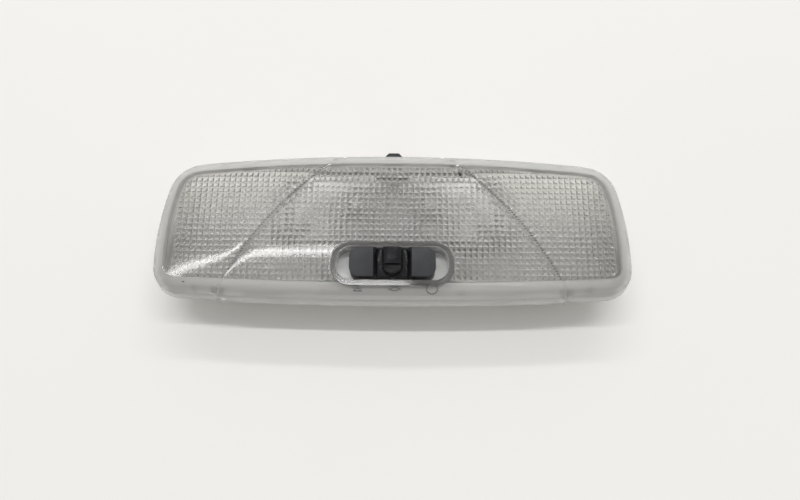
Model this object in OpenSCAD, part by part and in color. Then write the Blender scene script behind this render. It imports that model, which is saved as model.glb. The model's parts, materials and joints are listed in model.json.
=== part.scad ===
// Interior dome light of a car, modelled lens up as it lies on its back.
// X runs along the lamp, +Y points to the edge with the spring clip, +Z points
// out of the lens. The origin is on the flat back of the bulb pocket.

/* [Lens outline] */
// Half of the greatest width of the lens, at the foot of the bevel
lens_half_w = 97.6; // [92:0.2:104]
// Height of the top edge over the middle line
lens_top = 31.1; // [30:0.1:33]
// Depth of the bottom edge under the middle line
lens_bottom = 31.1; // [30:0.1:33]
// Radius of the slow bow of the top edge
top_bow_r = 800; // [500:10:1400]
// Radius of the slow bow of the bottom edge
bottom_bow_r = 1700; // [900:10:2600]
// Radius of the bow of each end
side_bow_r = 120; // [100:1:200]
// Level at which the lens is widest
widest_y = -12.5; // [-15:0.5:-6]
// Radius of the two top corners
top_corner_r = 15; // [12:0.5:18]
// Radius of the two bottom corners
bottom_corner_r = 10.5; // [9:0.5:13]

/* [Lens section] */
// Height of the edge of the front panel over the back of the lamp
face_z = 32; // [31:0.1:36]
// How far the middle of the front panel domes over its edge
dome_h = 0.9; // [0.5:0.1:2]
// How late the dome falls off toward the two ends, as a power
wing_fall = 0.8; // [0.6:0.1:2]
// Width of the bevel round the panel, seen from the front
bevel_w = 5.2; // [4.4:0.1:6]
// Fall of the bevel
bevel_drop = 4.7; // [3.5:0.1:5.5]
// Height of the skirt under the bevel
skirt_h = 6.3; // [5:0.1:7]
// Distance from the middle to each snap tongue on the edge with the clip
tongue_x = 62; // [58:0.5:66]
// The same on the edge with the switch
low_tongue_x = 70.5; // [66:0.5:74]
// Half of the width of a snap tongue
tongue_half_w = 3; // [2.8:0.1:4]
// How far the foot of the skirt flares out
skirt_flare = 1.3; // [0.6:0.1:1.6]
// Wall of the lens at its skirt and bevel
lens_wall = 1.8; // [1.4:0.1:2.2]
// Thickness of the front panel
panel_t = 2.2; // [1.8:0.1:2.8]

/* [Creases] */
// Radius of the arc that each crease follows
crease_r = 150; // [130:1:180]
// Distance from the middle line of the lamp to each crease, half way up
crease_x = 52.8; // [50:0.2:58]
// Direction of the crease there, as the angle of its normal
crease_angle = 37.6; // [34:0.2:41]
// Depth of the soft fall of the panels toward a crease
crease_depth = 0.2; // [0.1:0.05:0.6]
// How fast the shoulders rise out of a crease
crease_soft = 1.8; // [1:0.1:4]
// Half of the width of the fine groove in the bottom of a crease
groove_half_w = 0.6; // [0.4:0.05:0.8]
// Depth of that groove
groove_depth = 0.35; // [0.1:0.05:0.5]
// How far the middle panel stands proud of the wings at the bottom edge
middle_proud = 0.6; // [0.2:0.1:0.9]

/* [Switch] */
// Width of the window for the slider
window_w = 45.3; // [44:0.1:48]
// Height of the window
window_d = 14.1; // [13.6:0.1:14.6]
// Radius of the corners of the window
window_r = 6.0; // [5:0.1:6.3]
// Distance from the bottom edge of the lens to the middle of the window
window_inset = 13.2; // [12.8:0.1:14]
// Width of the clear collar round the window
collar_w = 2.2; // [1.6:0.1:2.4]
// Height of the collar over the panel's edge
collar_rise = 1.4; // [1.1:0.1:1.8]
// Width of the slider
slider_w = 34.6; // [33:0.1:36]
// Depth of the slider
slider_d = 12.2; // [11:0.1:12.6]
// Radius of the corners of the slider
slider_r = 4.0; // [3.6:0.1:5]
// Height of the slider's two pads over the panel's edge
pad_rise = 2.2; // [1.8:0.1:3]
// Width of the finger knob
knob_w = 8.3; // [7:0.1:9]
// Height of the knob over the pads
knob_rise = 1.9; // [1:0.1:2.4]
// Distance from one switch position to the next
switch_step = 4.3; // [3.8:0.1:4.5]
// Thickness of the plates of the switch base
base_t = 2.0; // [1.6:0.1:2.4]
// Running gap between the slider and its guides
slide_gap = 0.3; // [0.2:0.05:0.4]
// Depth of the switch plate under the panel's edge
plate_depth = 7; // [6.8:0.1:7.6]

/* [Housing] */
// Distance from the foot of the bevel in to the housing wall
body_inset = 3.6; // [3.4:0.1:4]
// Wall of the housing
wall = 1.8; // [1.5:0.1:2.2]
// Height of the housing rim that the lens stands on
rim_z = 23; // [22.6:0.1:23.6]
// Thickness of the housing rim
rim_t = 1.7; // [1.3:0.1:1.8]
// Height of the tray floor
tray_z = 11; // [10.6:0.1:11.6]
// Thickness of the floors
floor_t = 2; // [1.6:0.1:2.2]
// Room in the bulb pocket past each end of the reflector
end_room = 6; // [5.6:0.1:8]
// Distance from the bulb pocket to the blades of the connector
pin_run = 12; // [10:0.5:14]
// Length of the connector socket
socket_l = 22; // [20:0.5:24]
// Width of the connector socket's inside
socket_w = 14; // [13:0.1:15]
// Height of the connector socket's inside
socket_h = 5.4; // [5:0.1:5.6]
// Width of the two fixed hooks
hook_w = 9; // [6:0.5:12]
// Distance of each fixed hook from the middle
hook_x = 46; // [35:1:60]

/* [Bulb and reflector] */
// Radius of the bulb's glass
glass_r = 5.3; // [4.5:0.1:5.6]
// Length of the bulb over its caps
bulb_l = 42; // [40:0.5:44]
// Radius of the bulb's caps
cap_r = 4.2; // [3.6:0.1:4.3]
// Height of the bulb's axis
bulb_z = 17.5; // [16.5:0.1:18]
// Outer radius of the reflector trough
reflector_r = 14; // [13:0.1:14.5]
// Sheet thickness of the reflector
reflector_t = 0.8; // [0.6:0.1:1]
// Half of the reflector's length
reflector_half_l = 36; // [34:0.5:38]
// Length of the flange at each end of the reflector
flange_l = 8; // [7:0.5:9]

/* [Contacts] */
// Sheet thickness of the stamped tracks
track_t = 0.6; // [0.5:0.05:0.8]
// Width of the stamped tracks
track_w = 1.8; // [1.4:0.1:2]
// Sheet thickness of the bulb clips
clip_t = 0.5; // [0.4:0.05:0.6]
// Distance from the upright of a bulb clip to its rivet
clip_foot = 7; // [6.5:0.1:7.5]

/* [Retaining clip] */
// Width of the clip strip
catch_w = 8.3; // [7:0.1:9]
// Thickness of the clip strip
catch_t = 0.9; // [0.7:0.05:1]
// How far the nose reaches out from the housing wall
catch_reach = 9.7; // [8:0.1:10]
// Height of the curl that the clip turns on
catch_root_z = 4.5; // [4.2:0.1:5]
// Height of the nose
catch_nose_z = 17.9; // [17:0.1:18.2]
// Radius of the curl
curl_r = 1.3; // [1.2:0.05:1.4]

/* [Hidden] */
$fn = 48;

// The outline is a chain of tangent arcs. The direction of the outward normal
// names a place on it: -90 at the bottom, 0 at the right end, 90 at the top.
function on_circle(c, r, a) = c + r * [cos(a), sin(a)];
function heading(v) = atan2(v[1], v[0]);
function meet(c1, r1, c2, r2, side) =
    let(
        d = norm(c2 - c1),
        a = (r1 * r1 - r2 * r2 + d * d) / (2 * d),
        h = sqrt(max(0, r1 * r1 - a * a)),
        u = (c2 - c1) / d
    )
    c1 + a * u + side * h * [-u[1], u[0]];
function right_meet(c1, r1, c2, r2) =
    let(p = meet(c1, r1, c2, r2, 1), q = meet(c1, r1, c2, r2, -1))
    p[0] > q[0] ? p : q;

top_c = [0, lens_top - top_bow_r];
bottom_c = [0, bottom_bow_r - lens_bottom];
side_c = [lens_half_w - side_bow_r, widest_y];
corner1_c = right_meet(top_c, top_bow_r - top_corner_r, side_c, side_bow_r - top_corner_r);
corner2_c = right_meet(bottom_c, bottom_bow_r - bottom_corner_r, side_c, side_bow_r - bottom_corner_r);
a_top = heading(corner1_c - top_c);
a_side1 = heading(corner1_c - side_c);
a_side2 = heading(corner2_c - side_c);
a_bottom = heading(corner2_c - bottom_c);
a_mid1 = (a_top + a_side1) / 2;
a_mid2 = (a_bottom + a_side2) / 2;

// A point of the outline moved in by d
function edge(a, d) =
    a > a_top ? on_circle(top_c, top_bow_r - d, a) :
    a > a_side1 ? on_circle(corner1_c, top_corner_r - d, a) :
    a > a_side2 ? on_circle(side_c, side_bow_r - d, a) :
    a > a_bottom ? on_circle(corner2_c, bottom_corner_r - d, a) :
    on_circle(bottom_c, bottom_bow_r - d, a);

// A path is a list of [radius, first normal, last normal]; walk() gives the
// normal at a distance s along it.
function arc_len(p) = abs(p[2] - p[1]) * PI / 180 * p[0];
function path_len(path, k = 0) = k == len(path) ? 0 : arc_len(path[k]) + path_len(path, k + 1);
function walk(path, s, k = 0) =
    let(p = path[k], l = arc_len(p))
    s <= l || k == len(path) - 1
        ? p[1] + sign(p[2] - p[1]) * min(s, l) / p[0] * 180 / PI
        : walk(path, s - l, k + 1);
function along(path, share) = walk(path, share * path_len(path));

// Each crease follows an arc whose centre is below the other half of the lens
crease_c = [crease_x, 0] - crease_r * [cos(crease_angle), sin(crease_angle)];
// e is the distance from the bottom of the groove, out to the wing
function crease_top(d, e) =
    heading(right_meet(crease_c, crease_r + e, top_c, top_bow_r - d) - top_c);
function crease_bottom(d, e) =
    heading(right_meet(crease_c, crease_r + e, bottom_c, bottom_bow_r - d) - bottom_c);

// Mesh of the lens: columns to each side of the middle, the one in the bottom
// of the groove, with a lip on each side of it, and rows from bottom to top
cols = 22;
crease_col = 10;
lip1 = crease_col - 1;
lip2 = crease_col + 1;
rows = 16;
side_path = [
    [bottom_corner_r, a_mid2, a_side2], [side_bow_r, a_side2, a_side1], [top_corner_r, a_side1, a_mid1]
];
function crowd_end(t) = 1 - pow(1 - t, 1.6);
function crowd_both(t) = 0.5 - 0.5 * cos(180 * t);
function row_share(j) = (j / rows + crowd_both(j / rows)) / 2;
function middle_share(k) = crowd_end(k / lip1);
function wing_share(k) = crowd_both((k - lip2) / (cols - lip2));
function top_normal(k, d) =
    k <= lip1 ? along([[top_bow_r, 90, crease_top(d, -groove_half_w)]], middle_share(k)) :
    k == crease_col ? crease_top(d, 0) :
    along(
        [[top_bow_r, crease_top(d, groove_half_w), a_top], [top_corner_r, a_top, a_mid1]],
        wing_share(k)
    );
function bottom_normal(k, d) =
    k <= lip1 ? along([[bottom_bow_r, -90, crease_bottom(d, -groove_half_w)]], middle_share(k)) :
    k == crease_col ? crease_bottom(d, 0) :
    along(
        [[bottom_bow_r, crease_bottom(d, groove_half_w), a_bottom], [bottom_corner_r, a_bottom, a_mid2]],
        wing_share(k)
    );
function flip_x(p, i) = i < 0 ? [-p[0], p[1]] : p;
// cut is how far the notch of the crease and the step of the middle panel show
function top_point(i, d, cut) =
    let(k = abs(i)) flip_x(edge(top_normal(k, d), d + (k == crease_col ? cut : 0)), i);
function bottom_point(i, d, cut) =
    let(k = abs(i), out = k < crease_col ? -1 : k == crease_col ? 0.4 : 0)
    flip_x(edge(bottom_normal(k, d), d + out * cut), i);
function side_point(i, j, d) = flip_x(edge(along(side_path, row_share(j)), d), i);
function rim_point(i, j, d, cut) =
    j == 0 ? bottom_point(i, d, cut) :
    j == rows ? top_point(i, d, cut) :
    side_point(i, j, d);

// Points between the edges are blended from the four edges of their panel
function crease_point(k, j, d) =
    let(
        a = heading(bottom_point(k, d, 0) - crease_c),
        b = heading(top_point(k, d, 0) - crease_c)
    )
    on_circle(crease_c, crease_r + (k - crease_col) * groove_half_w, a + (b - a) * row_share(j));
function middle_point(j, d) =
    let(p = bottom_point(0, d, 0), q = top_point(0, d, 0)) p + (q - p) * row_share(j);
function blend(s, t, left, right, low, high, c00, c10, c01, c11) =
    (1 - s) * left + s * right + (1 - t) * low + t * high
    - (1 - s) * (1 - t) * c00 - s * (1 - t) * c10 - (1 - s) * t * c01 - s * t * c11;
function panel_point(i, j, d) =
    let(
        k = abs(i),
        wing = k > crease_col,
        s = wing ? wing_share(k) : middle_share(k),
        k0 = wing ? lip2 : 0,
        k1 = wing ? cols : lip1,
        p = k == crease_col ? crease_point(k, j, d) : blend(
            s, row_share(j),
            wing ? crease_point(lip2, j, d) : middle_point(j, d),
            wing ? side_point(cols, j, d) : crease_point(lip1, j, d),
            bottom_point(k, d, 0), top_point(k, d, 0),
            bottom_point(k0, d, 0), bottom_point(k1, d, 0),
            top_point(k0, d, 0), top_point(k1, d, 0)
        )
    )
    flip_x(p, i);
function valley(p, groove) =
    let(away = abs(norm([abs(p[0]), p[1]] - crease_c) - crease_r))
    crease_depth * exp(-away / crease_soft) + groove * max(0, 1 - away / groove_half_w);
function panel_z(i, j, p, groove) =
    let(t = row_share(j), s = abs(i) > lip2 ? wing_share(abs(i)) : 0)
    face_z + dome_h * 4 * t * (1 - t) * (1 - pow(s, wing_fall)) - valley(p, groove);

// Rings of the lens wall, each [inset, height, share of the notch]
rim_foot_z = face_z - bevel_drop - skirt_h;
bevel_z = face_z - bevel_drop;
outer_rings = [
    [-skirt_flare, rim_foot_z, 1],
    [0, bevel_z, 1],
    [bevel_w * 0.45, face_z - bevel_drop * 0.44, 1],
    [bevel_w, face_z, 0]
];
inner_rings = [
    [bevel_w + 0.9, face_z - panel_t, 0],
    [bevel_w * 0.45 + 0.6 * lens_wall, face_z - bevel_drop * 0.44 - 0.9 * lens_wall, 0.5],
    [lens_wall, bevel_z - 0.4 * lens_wall, 0.5],
    [lens_wall - skirt_flare, rim_foot_z, 0.5]
];
ring_n = 4 * cols + 2 * rows;
function ring_ij(n) =
    n <= 2 * cols ? [n - cols, 0] :
    n <= 2 * cols + rows ? [cols, n - 2 * cols] :
    n <= 4 * cols + rows ? [3 * cols + rows - n, rows] :
    [-cols, 4 * cols + 2 * rows - n];
function ring_id(i, j) =
    j == 0 ? i + cols :
    i == cols ? 2 * cols + j :
    j == rows ? 3 * cols + rows - i :
    4 * cols + 2 * rows - j;
function ring_points(r) = [
    for (n = [0:ring_n - 1])
        let(
            ij = ring_ij(n),
            p = rim_point(ij[0], ij[1], r[0], r[2] * middle_proud),
            dip = r[0] >= bevel_w ? valley(p, r[0] == bevel_w ? groove_depth : 0) : 0
        )
        [p[0], p[1], r[1] - dip]
];
function panel_points(r, drop, groove) = [
    for (j = [1:rows - 1])
        for (i = [1 - cols:cols - 1])
            let(p = panel_point(i, j, r[0])) [p[0], p[1], panel_z(i, j, p, groove) - drop]
];
function inner_id(i, j) = (j - 1) * (2 * cols - 1) + i + cols - 1;
function is_rim(i, j) = abs(i) == cols || j == 0 || j == rows;
function grid_id(i, j, ring, panel) =
    is_rim(i, j) ? ring * ring_n + ring_id(i, j) : panel + inner_id(i, j);
function turned(face, up) = up ? face : [face[2], face[1], face[0]];
function panel_faces(ring, panel, up) = [
    for (j = [0:rows - 1])
        for (i = [-cols:cols - 1])
            let(
                a = grid_id(i, j, ring, panel), b = grid_id(i + 1, j, ring, panel),
                c = grid_id(i + 1, j + 1, ring, panel), d = grid_id(i, j + 1, ring, panel)
            )
            each [turned([a, c, b], up), turned([a, d, c], up)]
];
function band_faces(ring_a, ring_b) = [
    for (n = [0:ring_n - 1])
        let(m = (n + 1) % ring_n, a = ring_a * ring_n, b = ring_b * ring_n)
        each [[a + n, b + m, a + m], [a + n, b + n, b + m]]
];

module lens_shell() {
    rings = concat(outer_rings, inner_rings);
    outer_n = len(rings) * ring_n;
    inner_n = outer_n + (2 * cols - 1) * (rows - 1);
    points = concat(
        [for (r = rings) each ring_points(r)],
        panel_points(outer_rings[3], 0, groove_depth),
        panel_points(inner_rings[0], panel_t, 0)
    );
    faces = concat(
        panel_faces(3, outer_n, true),
        panel_faces(4, inner_n, false),
        band_faces(0, 1), band_faces(1, 2), band_faces(2, 3),
        band_faces(4, 5), band_faces(5, 6), band_faces(6, 7), band_faces(7, 0)
    );
    polyhedron(points = points, faces = faces, convexity = 6);
}

// The same outline as one flat shape, moved in by d
function half_outline(d) = concat(
    [for (k = [0:8]) edge(-90 + (a_bottom + 90) * k / 8, d)],
    [for (k = [1:6]) edge(a_bottom + (a_side2 - a_bottom) * k / 6, d)],
    [for (k = [1:6]) edge(a_side2 + (a_side1 - a_side2) * k / 6, d)],
    [for (k = [1:7]) edge(a_side1 + (a_top - a_side1) * k / 7, d)],
    [for (k = [1:9]) edge(a_top + (90 - a_top) * k / 9, d)]
);
module outline(d) {
    right = half_outline(d);
    left = [for (k = [len(right) - 2:-1:1]) [-right[k][0], right[k][1]]];
    polygon(concat(right, left));
}
// Stands at a place on the top or bottom edge, y out along the normal
module at_top(x) {
    translate(top_c) rotate(-asin(x / top_bow_r)) translate([0, top_bow_r]) children();
}
module at_bottom(x) {
    translate(bottom_c) rotate(180 + asin(x / bottom_bow_r)) translate([0, bottom_bow_r]) children();
}
module rounded(w, d, r) {
    square([w - 2 * r, d], center = true);
    square([w, d - 2 * r], center = true);
    for (x = [-1, 1])
        for (y = [-1, 1])
            translate([x * (w / 2 - r), y * (d / 2 - r)]) circle(r);
}
module slab(z0, z1) {
    translate([0, 0, z0]) linear_extrude(z1 - z0) children();
}
module box(x0, x1, y0, y1, z0, z1) {
    translate([x0, y0, z0]) cube([x1 - x0, y1 - y0, z1 - z0]);
}
// Flat bar with round ends between two points, in two dimensions
module bar(p, q, t) {
    translate(p) rotate(heading(q - p)) translate([0, -t / 2]) square([norm(q - p), t]);
    translate(p) circle(d = t);
    translate(q) circle(d = t);
}
// Extrudes a shape drawn in Y and Z over a width in X
module across(w) {
    translate([-w / 2, 0, 0]) rotate([90, 0, 90]) linear_extrude(w) children();
}
module both_sides() {
    children();
    mirror([1, 0, 0]) children();
}

// Levels and places that the pieces share
window_y = window_inset - lens_bottom;
slider_y = window_y + 0.3;
pad_z = face_z + pad_rise;
collar_z = face_z + collar_rise;
base_top = face_z - plate_depth;
well_z = base_top + slide_gap;
top_wall = lens_top - body_inset;
top_inner = top_wall - wall;
bottom_inner = body_inset + wall - lens_bottom;
track_top = tray_z + track_t;
bulb_y = top_inner - reflector_r - 3.7;
reflector_z = bulb_z + 4.5;
screw_l = 5;
boss_z = tray_z - screw_l - 1.5;
pocket_y0 = bulb_y - reflector_r - 4;
pocket_y1 = top_inner - 0.6;
post_z = 5;
clip_x = bulb_l / 2 - 1.4;
rivet_x = clip_x + clip_foot;
stake_x = reflector_half_l + flange_l / 2;
pocket_half_w = reflector_half_l + flange_l + end_room;
base_half_l = window_w / 2 + 3.4;
base_half_d = window_d / 2 - 0.2;
screw_x = base_half_l + 3.2;
foot_z = base_top - base_t - slide_gap;
foot_t = 1.3;
stem_l = slider_w / 2 + 2.7;
stem_d = 5;
foot_d = 6.8;
wiper_z = track_top + 0.9;
rail_y = slider_y + 3;
pad_y = slider_y - 3;
pin_x = pocket_half_w + pin_run;
bend_x = pin_x - track_w / 2 + track_t;
tongue_in = 1.5;
tongue_t = 1.5;
tongue_bar = 1.3;
root = [top_wall + 2.8, catch_root_z];
nose = [top_wall + catch_reach - catch_t / 2, catch_nose_z];
catch_travel = 4;
tail = [top_inner - 0.4, catch_nose_z + 1.2];
socket_x0 = pin_x - 4;
socket_z0 = tray_z - floor_t - socket_h - 1.4;
pin_pitch = 5;
rivet_r = 1;
stake_r = 0.95;
stake_y = 5;
screw_r = 1.25;
ear_t = 2.4;
strip_w = 7;
tip_r = 2.3;
filament_half = 5;
pad_in = slider_w / 2 - 9.55;
hollow = 2.2;
seat_x = [28, 80];
rib_pitch = 22;
wing_rib_y = 16;
wing_rib_end = lens_half_w - body_inset - 10;

module lens() {
    color([0.86, 0.87, 0.87, 0.55]) {
        difference() {
            union() {
                lens_shell();
                translate([0, window_y]) slab(well_z, collar_z)
                    rounded(window_w + 2 * collar_w, window_d + 2 * collar_w, window_r + collar_w);
                for (k = [-1, 1]) {
                    at_top(k * tongue_x) lens_tongue();
                    at_bottom(k * low_tongue_x) lens_tongue();
                }
                for (x = seat_x, k = [-1, 1]) {
                    at_bottom(k * x) seat_rib();
                    at_top(k * x * 0.9) seat_rib();
                }
            }
            translate([0, window_y]) slab(well_z - 1, collar_z + 2)
                rounded(window_w, window_d, window_r);
        }
    }
}
// Snap tongue of the lens, seen from the edge: y 0 is the foot of the bevel
module lens_tongue() {
    w = tongue_half_w;
    slot_w = w - tongue_bar;
    difference() {
        box(-w, w, -tongue_in - tongue_t, -tongue_in, rim_z - rim_t - 5.8, bevel_z + 1.4);
        box(-slot_w, slot_w, -tongue_in - tongue_t - 1, 0, rim_z - rim_t - 4.4, rim_z - rim_t - 1);
    }
}
// Short rib in the corner of the lens that stands on the housing rim
module seat_rib() {
    box(-0.8, 0.8, -3.3, -lens_wall + 0.2, rim_z, bevel_z + 1.2);
}

module housing() {
    color([0.9, 0.9, 0.88]) difference() {
        union() {
            slab(tray_z - floor_t, rim_z) outline(body_inset);
            slab(rim_z - rim_t, rim_z) outline(lens_wall - 0.5);
            pocket(0, tray_z, 0);
            housing_ribs();
            socket_shell();
            catch_seat();
            for (k = [-1, 1]) {
                at_top(k * tongue_x) snap_wedge();
                at_bottom(k * low_tongue_x) snap_wedge();
            }
            for (x = [-hook_x, hook_x]) at_bottom(x) fixed_hook();
            for (k = [0, 1]) translate(screw_at(k)) slab(boss_z, tray_z) circle(3);
        }
        slab(tray_z, rim_z + 1) outline(body_inset + wall);
        pocket(floor_t, tray_z + 1, wall);
        for (k = [-1, 1]) {
            at_top(k * tongue_x) rim_slot();
            at_bottom(k * low_tongue_x) rim_slot();
        }
        box(
            socket_x0, socket_x0 + socket_l + 1, -socket_w / 2, socket_w / 2,
            socket_z0, socket_z0 + socket_h
        );
        for (y = [-pin_pitch, 0, pin_pitch]) riser_slot(y);
        for (k = [0, 1]) translate(screw_at(k)) slab(boss_z + 1, tray_z + 1) circle(screw_r - 0.15);
        // window that the upper leg of the spring clip passes
        box(
            -catch_w / 2 - 0.5, catch_w / 2 + 0.5, top_inner - 2, top_wall + 2,
            catch_nose_z - 1.6, rim_z - rim_t - 0.7
        );
    }
    color([0.9, 0.9, 0.88]) pocket_posts();
}
module pocket(z0, z1, d) {
    translate([0, (pocket_y0 + pocket_y1) / 2]) slab(z0, z1)
        rounded(2 * (pocket_half_w - d), pocket_y1 - pocket_y0 - 2 * d, 6 - d);
}
// Posts in the bulb pocket: low ones under the bulb clips, tall ones with a
// stake each for the reflector
module pocket_posts() {
    both_sides() {
        difference() {
            translate([rivet_x, bulb_y]) slab(floor_t - 0.2, post_z) circle(3.2);
            translate([rivet_x, bulb_y]) slab(floor_t + 0.3, post_z + 1) circle(rivet_r + 0.1);
        }
        for (y = [-stake_y, stake_y]) translate([stake_x, bulb_y + y]) {
            slab(floor_t - 0.2, tray_z) circle(2.2);
            slab(tray_z - 0.2, tray_z + reflector_t + 1) circle(stake_r);
        }
    }
}
module housing_ribs() {
    for (k = [-2:2])
        box(
            k * rib_pitch - 1, k * rib_pitch + 1, bottom_inner + 0.2, pocket_y0 + 1,
            0, tray_z - 1
        );
    both_sides() for (y = [-wing_rib_y, wing_rib_y])
        box(
            pocket_half_w - 1, wing_rib_end, y - 0.8, y + 0.8,
            tray_z - floor_t - 2.5, tray_z - 1
        );
}
module socket_shell() {
    box(
        socket_x0 - wall, socket_x0 + socket_l, -socket_w / 2 - 1.6, socket_w / 2 + 1.6,
        socket_z0 - 1.4, tray_z - 1
    );
}
module riser_slot(y) {
    box(
        pin_x - 0.15, pin_x + track_t + 0.15, y - track_w / 2 - 0.15, y + track_w / 2 + 0.15,
        socket_z0 + socket_h - 1, tray_z + 1
    );
}
module snap_wedge() {
    z = rim_z - rim_t;
    w = tongue_half_w - tongue_bar - 0.4;
    rotate([90, 0, 90]) translate([0, 0, -w]) linear_extrude(2 * w)
        polygon([
            [-body_inset - 0.5, z - 4.2], [-tongue_in - 0.5, z - 4.2],
            [-tongue_in - 0.5, z - 3.4], [-body_inset, z - 1.3], [-body_inset - 0.5, z - 1.3]
        ]);
}
module rim_slot() {
    w = tongue_half_w + 0.4;
    box(-w, w, -tongue_in - tongue_t - 0.4, 1, rim_z - rim_t - 1, rim_z + 1);
}
// Fixed hook that goes in behind the roof panel, with its gusset
module fixed_hook() {
    z = rim_foot_z - 4;
    rotate([90, 0, 90]) translate([0, 0, -hook_w / 2]) linear_extrude(hook_w)
        polygon([
            [-body_inset - 0.5, z], [-0.2, z], [0.4, z - 0.8], [0.4, z - 1.9],
            [-body_inset + 0.6, z - 4.6], [-body_inset - 0.5, z - 4.6]
        ]);
}
// Round seat for the curl of the spring clip, open where the leg leaves it
module catch_seat() {
    difference() {
        box(
            -catch_w / 2 - 2, catch_w / 2 + 2, pocket_y1 - 0.5, root[0] + curl_r + 1,
            root[1] - curl_r - 1, root[1] + curl_r + 1.2
        );
        across(catch_w + 0.4) translate(root) circle(curl_r + 0.06);
        across(catch_w + 0.4) translate(root)
            polygon([[0, 0], [6 * cos(35), 6 * sin(35)], [5, 9], [-1.8, 9]]);
    }
}

module reflector() {
    color([0.8, 0.81, 0.82]) difference() {
        union() {
            intersection() {
                across(2 * reflector_half_l) translate([bulb_y, reflector_z]) difference() {
                    circle(reflector_r, $fn = 96);
                    circle(reflector_r - reflector_t, $fn = 96);
                }
                box(-60, 60, -40, 40, 0, reflector_z);
            }
            both_sides() {
                intersection() {
                    translate([reflector_half_l - reflector_t / 2, 0, 0]) across(reflector_t)
                        translate([bulb_y, reflector_z]) circle(reflector_r - 0.1, $fn = 96);
                    box(0, 60, -40, 40, 0, tray_z + reflector_t);
                }
                box(
                    reflector_half_l - reflector_t, reflector_half_l + flange_l,
                    bulb_y - stake_y - 3, bulb_y + stake_y + 3, tray_z, tray_z + reflector_t
                );
            }
        }
        // room for the upper leg of the spring clip when it is pressed in
        box(
            -catch_w / 2 - 3, catch_w / 2 + 3, tail[0] - catch_travel - 2, lens_top,
            tray_z - 1, rim_z + 5
        );
        both_sides() {
            box(
                clip_x - 0.8, clip_x + clip_t + 0.8,
                bulb_y - strip_w / 2 - 0.5, bulb_y + strip_w / 2 + 0.5, 0, tray_z
            );
            for (y = [-stake_y, stake_y]) translate([stake_x, bulb_y + y])
                slab(0, rim_z) circle(stake_r + 0.12);
        }
    }
}

// Side of the switch chamber: 0 is the left ear, 1 the right one
function screw_at(k) = [(2 * k - 1) * screw_x, window_y + (k == 0 ? -1.9 : 3.1)];
module switch_base() {
    color([0.93, 0.93, 0.91]) difference() {
        union() {
            difference() {
                box(
                    -base_half_l, base_half_l, window_y - base_half_d, window_y + base_half_d,
                    track_top + 0.6, base_top
                );
                box(
                    -base_half_l + 1.6, base_half_l - 1.6, window_y - base_half_d + 1.4,
                    window_y + base_half_d - 1.4, track_top, base_top - base_t
                );
            }
            for (k = [0, 1]) hull() {
                translate(screw_at(k)) slab(tray_z, tray_z + ear_t) circle(3.2, $fn = 32);
                translate([(2 * k - 1) * (base_half_l - 0.8), screw_at(k)[1]])
                    slab(tray_z, tray_z + ear_t) square([1.6, 6.4], center = true);
            }
        }
        translate([0, slider_y]) slab(base_top - base_t - 1, base_top + 1)
            square([stem_l + 2 * switch_step + 1, stem_d + 2 * slide_gap], center = true);
        for (k = [0, 1]) translate(screw_at(k)) slab(tray_z - 1, tray_z + ear_t + 1) circle(screw_r + 0.2);
    }
}
module base_screws() {
    color([0.6, 0.6, 0.6]) for (k = [0, 1]) translate(screw_at(k)) {
        slab(tray_z - screw_l, tray_z + ear_t + 0.1) circle(screw_r - 0.2);
        difference() {
            slab(tray_z + ear_t, tray_z + ear_t + 1.5) circle(2.3);
            slab(tray_z + ear_t + 0.7, tray_z + ear_t + 2) square([3, 0.6], center = true);
            slab(tray_z + ear_t + 0.7, tray_z + ear_t + 2) square([0.6, 3], center = true);
        }
    }
}

module switch_slider() {
    color([0.13, 0.13, 0.14]) translate([0, slider_y, 0]) {
        difference() {
            slab(base_top + slide_gap, pad_z) rounded(slider_w, slider_d, slider_r);
            // the two hollows beside the knob, with a soft fall from each pad
            rotate([90, 0, 0]) linear_extrude(slider_d + 2, center = true)
                polygon([
                    [-pad_in, pad_z + 1], [-pad_in, pad_z],
                    [-pad_in + 0.8, pad_z - 0.5], [-pad_in + 1.8, pad_z - hollow],
                    [pad_in - 1.8, pad_z - hollow], [pad_in - 0.8, pad_z - 0.5],
                    [pad_in, pad_z], [pad_in, pad_z + 1]
                ]);
        }
        knob();
        slab(foot_z - foot_t, base_top + slide_gap + 0.5) square([stem_l, stem_d], center = true);
        difference() {
            slab(foot_z - foot_t, foot_z) square([stem_l, foot_d], center = true);
            for (x = [-switch_step, 0, switch_step])
                translate([x, foot_d / 2 + 0.5]) slab(0, base_top) circle(1);
        }
        slab(wiper_z, foot_z - foot_t + 0.5) square([6, 4.4], center = true);
    }
}
// Finger knob: round shoulders, a round front end and a thumb pocket across it
module knob() {
    difference() {
        intersection() {
            slab(pad_z - hollow - 1, pad_z + knob_rise + 1) union() {
                translate([0, 1.9]) square([knob_w, slider_d - 4.6], center = true);
                translate([0, -1.2]) circle(knob_w / 2);
            }
            rotate([90, 0, 0]) linear_extrude(slider_d, center = true) union() {
                r = knob_w / 2 - 1.4;
                translate([0, pad_z - hollow])
                    square([knob_w, 2 * (knob_rise + hollow - r)], center = true);
                for (x = [-1, 1]) translate([x * (knob_w / 2 - r), pad_z + knob_rise - r]) circle(r);
                translate([0, pad_z + knob_rise - r]) square([knob_w - 2 * r, 2 * r], center = true);
            }
        }
        translate([0, -2.4]) slab(pad_z + knob_rise - 1.7, pad_z + knob_rise + 1)
            square([knob_w - 2, 2.3], center = true);
    }
}
module slider_wiper() {
    color([0.75, 0.55, 0.3]) {
        box(-1.5, 1.5, pad_y - 1, rail_y + 1, wiper_z - 0.35, wiper_z);
        for (y = [rail_y, pad_y]) translate([0, y]) slab(track_top + 0.15, wiper_z - 0.3) circle(0.8);
    }
}
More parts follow.
